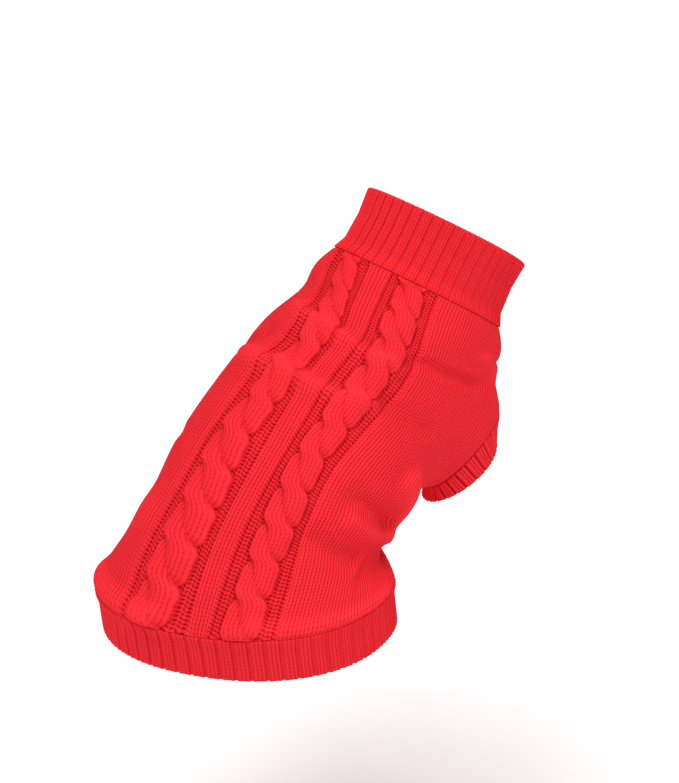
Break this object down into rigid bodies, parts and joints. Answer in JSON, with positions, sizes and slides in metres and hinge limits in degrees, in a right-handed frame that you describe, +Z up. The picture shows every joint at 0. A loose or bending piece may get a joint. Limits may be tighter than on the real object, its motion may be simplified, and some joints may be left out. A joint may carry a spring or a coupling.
{
  "type": "cable-knit dog sweater",
  "caption": "Red knitted pullover for a small dog, with twisted cables down the back, short cuffed sleeves and ribbed collar, cuffs and hem band, in the hollow form it has when worn.",
  "frame": {"origin": "where the inner face of the back panel rests on the wearer's withers", "axes": "+Z up, +Y towards the wearer's front, +X towards the wearer's right side"},
  "size_m": [0.1546, 0.2795, 0.1865],
  "materials": {
    "knit_panels": "soft brushed acrylic yarn, plain and cable knit",
    "rib_knit": "soft brushed acrylic yarn, ribbed"
  },
  "bodies": {
    "root": {"back_panel": "knit_panels", "belly_panel": "knit_panels", "hem_band": "rib_knit", "collar": "rib_knit", "cuff_right": "rib_knit", "cuff_left": "rib_knit"}
  },
  "joints": []
}
